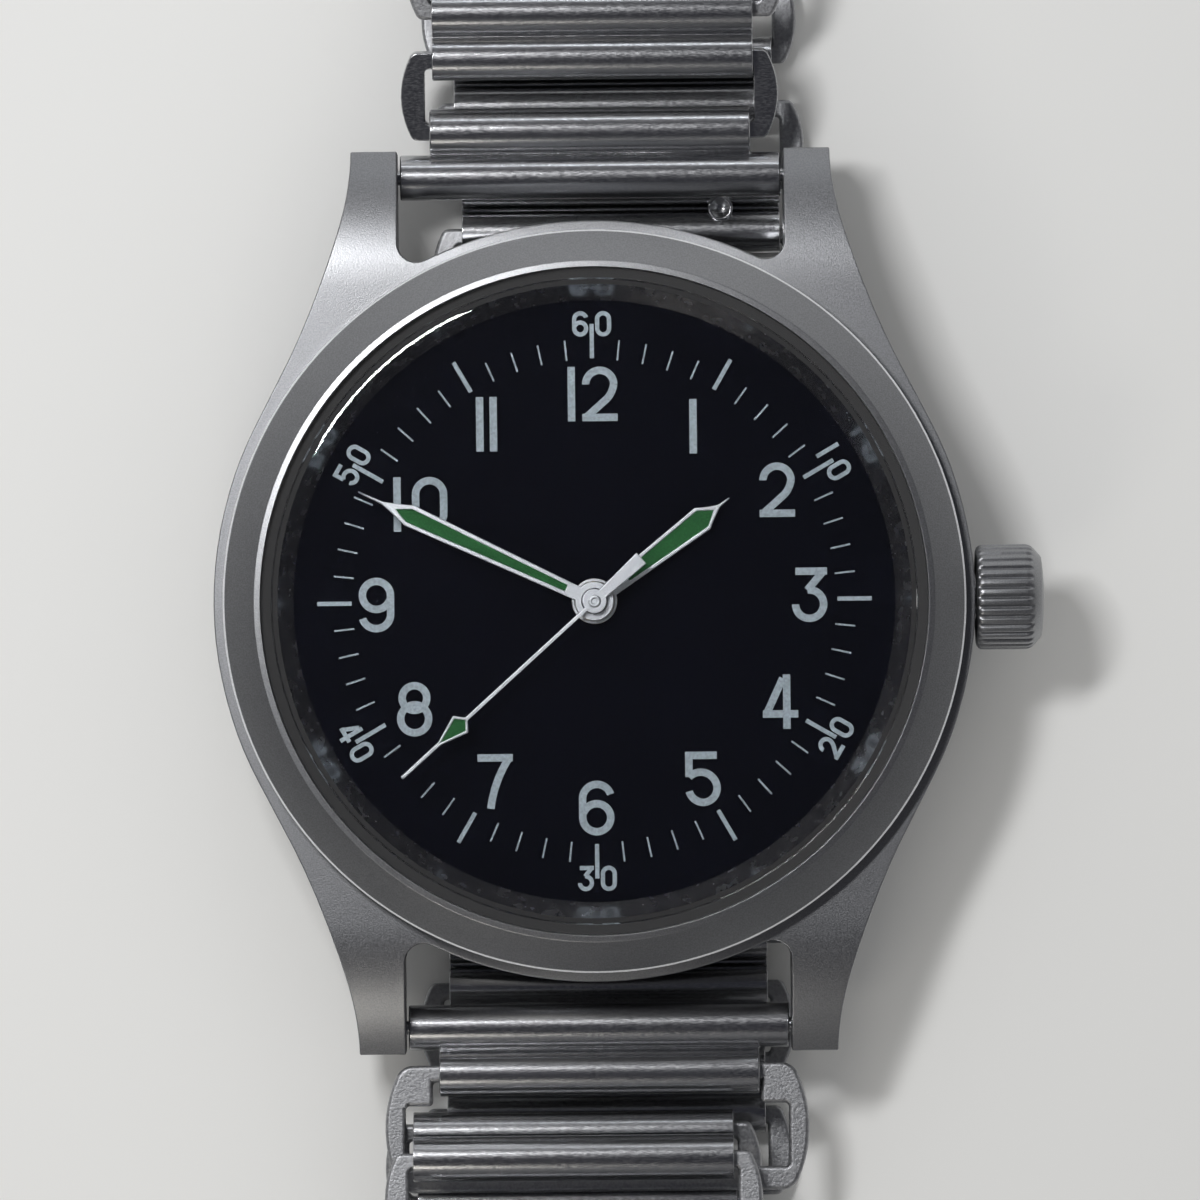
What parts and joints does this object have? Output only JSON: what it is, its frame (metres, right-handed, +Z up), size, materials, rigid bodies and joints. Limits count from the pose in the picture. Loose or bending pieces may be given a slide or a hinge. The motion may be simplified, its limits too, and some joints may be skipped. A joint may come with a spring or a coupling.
{
  "type": "field watch",
  "caption": "Hand-wound field watch with a matte steel case, black dial, luminous hands and a ladder bracelet folded closed through its clasp ring.",
  "frame": {"origin": "on the dial's axis, at the table that the bracelet lies on", "axes": "+X towards the crown, +Y towards 12 o'clock, +Z up out of the dial"},
  "size_m": [0.0394, 0.074, 0.0115],
  "materials": {
    "case_steel": "bead blasted",
    "bracelet_steel": "bright rolled",
    "crystal": "clear domed",
    "seal": "matte",
    "polished_steel": "polished",
    "dial_black": "matte",
    "dial_ink": "matte",
    "lume": "matte",
    "hand_steel": "brushed",
    "movement_brass": "satin",
    "movement_steel": "polished"
  },
  "bodies": {
    "case": {"mid_case": "case_steel", "case_back": "case_steel", "case_back_gasket": "seal", "bezel": "case_steel", "crystal": "crystal", "crystal_gasket": "seal", "dial_ring": "polished_steel", "dial": "dial_black", "dial_printing": "dial_ink", "crown_tube": "polished_steel", "main_plate": "movement_brass", "train_bridge": "movement_brass", "balance_cock": "movement_brass", "pallet_bridge": "movement_brass", "hairspring": "movement_steel", "spring_bar_12": "bracelet_steel", "spring_bar_6": "bracelet_steel"},
    "seconds": {"fourth_wheel": "movement_brass", "second_hand": "hand_steel", "second_lume": "lume"},
    "minutes": {"centre_wheel": "movement_brass", "cannon_pinion": "movement_steel", "minute_hand": "hand_steel", "minute_lume": "lume"},
    "hours": {"hour_wheel": "movement_brass", "hour_hand": "hand_steel", "hour_lume": "lume"},
    "third_wheel": {"third_wheel": "movement_brass"},
    "escape_wheel": {"escape_wheel": "movement_steel"},
    "barrel": {"barrel": "movement_brass"},
    "minute_wheel": {"minute_wheel": "movement_brass"},
    "pallet_fork": {"pallet_fork": "movement_steel"},
    "balance": {"balance_wheel": "movement_brass"},
    "ratchet_wheel": {"ratchet_wheel": "movement_steel"},
    "winding_pinion": {"winding_pinion": "movement_steel"},
    "crown": {"crown": "case_steel", "stem": "movement_steel"},
    "end_link_12": {"end_link_12": "bracelet_steel"},
    "ladder_link_01": {"ladder_link_01": "bracelet_steel"},
    "ladder_link_02": {"ladder_link_02": "bracelet_steel"},
    "ladder_link_03": {"ladder_link_03": "bracelet_steel"},
    "ladder_link_04": {"ladder_link_04": "bracelet_steel"},
    "ladder_link_05": {"ladder_link_05": "bracelet_steel"},
    "ladder_link_06": {"ladder_link_06": "bracelet_steel"},
    "ladder_link_07": {"ladder_link_07": "bracelet_steel"},
    "ladder_link_08": {"ladder_link_08": "bracelet_steel"},
    "end_link_6": {"end_link_6": "bracelet_steel"},
    "clasp": {"clasp_ring": "bracelet_steel", "fold_slat": "bracelet_steel", "fold_ring": "bracelet_steel", "return_link_1": "bracelet_steel", "return_link_2": "bracelet_steel"},
    "clip": {"clip": "bracelet_steel"},
    "turn_slat": {"turn_slat": "bracelet_steel"},
    "ladder_link_14": {"ladder_link_14": "bracelet_steel"},
    "ladder_link_13": {"ladder_link_13": "bracelet_steel"},
    "ladder_link_12": {"ladder_link_12": "bracelet_steel"},
    "ladder_link_11": {"ladder_link_11": "bracelet_steel"},
    "ladder_link_10": {"ladder_link_10": "bracelet_steel"},
    "ladder_link_09": {"ladder_link_09": "bracelet_steel"}
  },
  "joints": [
    {"name": "seconds_hand", "type": "hinge", "parent": "case", "child": "seconds", "pos_m": [0, 0, 0.00889], "axis": [0, 0, -1], "continuous": true},
    {"name": "minute_hand", "type": "hinge", "parent": "case", "child": "minutes", "pos_m": [0, 0, 0.00847], "axis": [0, 0, -1], "continuous": true},
    {"name": "hour_hand", "type": "hinge", "parent": "case", "child": "hours", "pos_m": [0, 0, 0.00805], "axis": [0, 0, -1], "continuous": true},
    {"name": "third_wheel_turn", "type": "hinge", "parent": "case", "child": "third_wheel", "pos_m": [-0.00465, -0.00169, 0.00445], "axis": [0, 0, -1], "continuous": true},
    {"name": "escape_wheel_turn", "type": "hinge", "parent": "case", "child": "escape_wheel", "pos_m": [0, -0.00484, 0.00515], "axis": [0, 0, -1], "continuous": true},
    {"name": "barrel_turn", "type": "hinge", "parent": "case", "child": "barrel", "pos_m": [0.0033, 0.00572, 0.00515], "axis": [0, 0, -1], "continuous": true},
    {"name": "minute_wheel_turn", "type": "hinge", "parent": "case", "child": "minute_wheel", "pos_m": [0.00208, 0.0012, 0.0066], "axis": [0, 0, -1], "continuous": true},
    {"name": "pallet_rock", "type": "hinge", "parent": "case", "child": "pallet_fork", "pos_m": [0.00225, -0.00614, 0.00515], "axis": [0, 0, -1], "range_deg": [-5, 5]},
    {"name": "balance_swing", "type": "hinge", "parent": "case", "child": "balance", "pos_m": [0.00511, -0.00779, 0.00425], "axis": [0, 0, -1], "range_deg": [-220, 220]},
    {"name": "winding", "type": "hinge", "parent": "case", "child": "winding_pinion", "pos_m": [0.0108, 0, 0.00605], "axis": [1, 0, 0], "continuous": true},
    {"name": "crown_pull", "type": "slide", "parent": "winding_pinion", "child": "crown", "axis": [1, 0, 0], "range_m": [0, 0.0009]},
    {"name": "ratchet_turn", "type": "hinge", "parent": "case", "child": "ratchet_wheel", "pos_m": [0.0033, 0.00572, 0.00445], "axis": [0, 0, -1], "continuous": true},
    {"name": "bracelet", "type": "hinge", "parent": "case", "child": "end_link_12", "pos_m": [0, 0.0202, 0.0046], "axis": [-1, 0, 0], "range_deg": [0, 41.39]},
    {"name": "ladder_link_01_hinge", "type": "hinge", "parent": "end_link_12", "child": "ladder_link_01", "pos_m": [0, 0.02574, 0.00571], "axis": [-1, 0, 0], "range_deg": [0, 34.07]},
    {"name": "ladder_link_02_hinge", "type": "hinge", "parent": "ladder_link_01", "child": "ladder_link_02", "pos_m": [0, 0.03141, 0.00705], "axis": [-1, 0, 0], "range_deg": [-65.59, 0]},
    {"name": "ladder_link_03_hinge", "type": "hinge", "parent": "ladder_link_02", "child": "ladder_link_03", "pos_m": [0, 0.03204, 0.00108], "axis": [-1, 0, 0], "range_deg": [-82.71, 0]},
    {"name": "ladder_link_04_hinge", "type": "hinge", "parent": "ladder_link_03", "child": "ladder_link_04", "pos_m": [0, 0.02603, 0.00108], "axis": [-1, 0, 0], "range_deg": [0, 14.32]},
    {"name": "ladder_link_05_hinge", "type": "hinge", "parent": "ladder_link_04", "child": "ladder_link_05", "pos_m": [0, 0.02002, 0.00108], "axis": [-1, 0, 0], "range_deg": [0, 16.13]},
    {"name": "ladder_link_06_hinge", "type": "hinge", "parent": "ladder_link_05", "child": "ladder_link_06", "pos_m": [0, 0.01401, 0.00108], "axis": [-1, 0, 0], "range_deg": [0, 14.96]},
    {"name": "ladder_link_07_hinge", "type": "hinge", "parent": "ladder_link_06", "child": "ladder_link_07", "pos_m": [0, 0.008, 0.00108], "axis": [-1, 0, 0], "range_deg": [0, 12.66]},
    {"name": "ladder_link_08_hinge", "type": "hinge", "parent": "ladder_link_07", "child": "ladder_link_08", "pos_m": [0, 0.00199, 0.00108], "axis": [-1, 0, 0], "range_deg": [0, 11.28]},
    {"name": "end_link_6_hinge", "type": "hinge", "parent": "case", "child": "end_link_6", "pos_m": [0, -0.0202, 0.0046], "axis": [-1, 0, 0], "range_deg": [-33.53, 0]},
    {"name": "clasp_hinge", "type": "hinge", "parent": "end_link_6", "child": "clasp", "pos_m": [0, -0.02239, 0.00475], "axis": [-1, 0, 0], "range_deg": [-25.92, 0]},
    {"name": "turn_slat_hinge", "type": "hinge", "parent": "clasp", "child": "turn_slat", "pos_m": [0, -0.03988, 0.00362], "axis": [-1, 0, 0], "range_deg": [0, 50.1]},
    {"name": "ladder_link_14_hinge", "type": "hinge", "parent": "turn_slat", "child": "ladder_link_14", "pos_m": [0, -0.04008, 0.00108], "axis": [-1, 0, 0], "range_deg": [0, 67.87]},
    {"name": "ladder_link_13_hinge", "type": "hinge", "parent": "ladder_link_14", "child": "ladder_link_13", "pos_m": [0, -0.03407, 0.00108], "axis": [-1, 0, 0], "range_deg": [-18.21, 0]},
    {"name": "ladder_link_12_hinge", "type": "hinge", "parent": "ladder_link_13", "child": "ladder_link_12", "pos_m": [0, -0.02806, 0.00108], "axis": [-1, 0, 0], "range_deg": [-12.71, 0]},
    {"name": "ladder_link_11_hinge", "type": "hinge", "parent": "ladder_link_12", "child": "ladder_link_11", "pos_m": [0, -0.02205, 0.00108], "axis": [-1, 0, 0], "range_deg": [-10.18, 0]},
    {"name": "ladder_link_10_hinge", "type": "hinge", "parent": "ladder_link_11", "child": "ladder_link_10", "pos_m": [0, -0.01604, 0.00108], "axis": [-1, 0, 0], "range_deg": [-9.43, 0]},
    {"name": "ladder_link_09_hinge", "type": "hinge", "parent": "ladder_link_10", "child": "ladder_link_09", "pos_m": [0, -0.01003, 0.00108], "axis": [-1, 0, 0], "range_deg": [-9.29, 0]},
    {"name": "clip_lift", "type": "hinge", "parent": "clasp", "child": "clip", "pos_m": [0, -0.02994, 0.00671], "axis": [-1, 0, 0], "range_deg": [0, 75]}
  ],
  "couplings": [
    {"joint": "minute_hand", "follows": "seconds_hand", "ratio": 0.016667},
    {"joint": "hour_hand", "follows": "seconds_hand", "ratio": 0.0013889},
    {"joint": "third_wheel_turn", "follows": "seconds_hand", "ratio": -0.13333},
    {"joint": "escape_wheel_turn", "follows": "seconds_hand", "ratio": -10},
    {"joint": "barrel_turn", "follows": "seconds_hand", "ratio": -0.0026316},
    {"joint": "minute_wheel_turn", "follows": "seconds_hand", "ratio": -0.0055556},
    {"joint": "ratchet_turn", "follows": "winding", "ratio": 0.32},
    {"joint": "ladder_link_01_hinge", "follows": "bracelet", "ratio": 0.82264},
    {"joint": "ladder_link_02_hinge", "follows": "bracelet", "ratio": -1.5841},
    {"joint": "ladder_link_03_hinge", "follows": "bracelet", "ratio": -1.9977},
    {"joint": "ladder_link_04_hinge", "follows": "bracelet", "ratio": 0.34552},
    {"joint": "ladder_link_05_hinge", "follows": "bracelet", "ratio": 0.38931},
    {"joint": "ladder_link_06_hinge", "follows": "bracelet", "ratio": 0.36101},
    {"joint": "ladder_link_07_hinge", "follows": "bracelet", "ratio": 0.3053},
    {"joint": "ladder_link_08_hinge", "follows": "bracelet", "ratio": 0.27202},
    {"joint": "end_link_6_hinge", "follows": "bracelet", "ratio": -0.80968},
    {"joint": "clasp_hinge", "follows": "bracelet", "ratio": -0.62571},
    {"joint": "turn_slat_hinge", "follows": "bracelet", "ratio": 1.2099},
    {"joint": "ladder_link_14_hinge", "follows": "bracelet", "ratio": 1.6392},
    {"joint": "ladder_link_13_hinge", "follows": "bracelet", "ratio": -0.43951},
    {"joint": "ladder_link_12_hinge", "follows": "bracelet", "ratio": -0.3067},
    {"joint": "ladder_link_11_hinge", "follows": "bracelet", "ratio": -0.24542},
    {"joint": "ladder_link_10_hinge", "follows": "bracelet", "ratio": -0.22746},
    {"joint": "ladder_link_09_hinge", "follows": "bracelet", "ratio": -0.22388}
  ]
}
